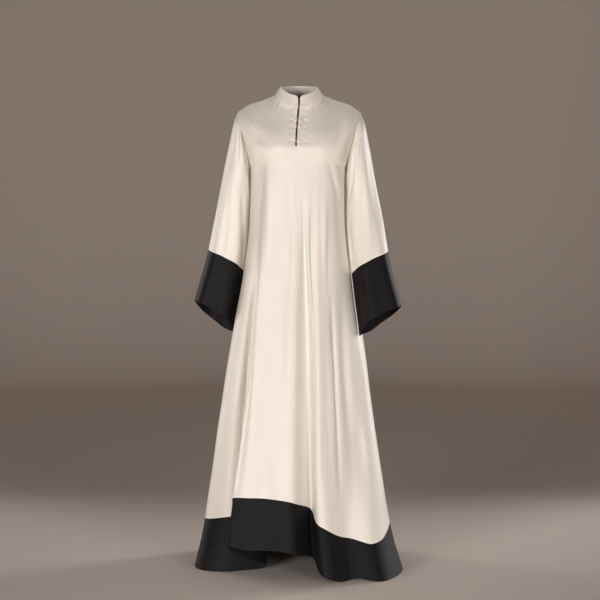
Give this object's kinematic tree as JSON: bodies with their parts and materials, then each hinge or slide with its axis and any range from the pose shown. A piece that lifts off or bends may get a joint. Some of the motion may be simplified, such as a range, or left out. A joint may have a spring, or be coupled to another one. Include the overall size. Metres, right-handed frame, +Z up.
{
  "type": "abaya",
  "caption": "Long closed abaya as worn: stand collar, looped neck slit, bell sleeves, A-line skirt with deep folds, and wide black bands at cuffs and hem.",
  "frame": {"origin": "midway between the two neck points, where the wearer's shoulders carry the garment", "axes": "+Z up, the front faces -Y, and the wearer's left is +X"},
  "size_m": [0.6679, 0.626, 1.5329],
  "materials": {
    "cream_satin": "soft satin, warm cream",
    "black_satin": "black satin-backed crepe with a low sheen",
    "covered_button": "button covered in the cream satin"
  },
  "bodies": {
    "root": {"front_panel": "cream_satin", "back_panel": "cream_satin", "hem_band_front": "black_satin", "hem_band_back": "black_satin", "sleeve_right": "cream_satin", "cuff_right": "black_satin", "sleeve_left": "cream_satin", "cuff_left": "black_satin", "collar": "cream_satin", "placket_strip_right": "cream_satin", "placket_strip_left": "cream_satin", "button_1": "covered_button", "button_loop_1": "cream_satin", "button_2": "covered_button", "button_loop_2": "cream_satin", "button_3": "covered_button", "button_loop_3": "cream_satin", "button_4": "covered_button", "button_loop_4": "cream_satin"}
  },
  "joints": []
}
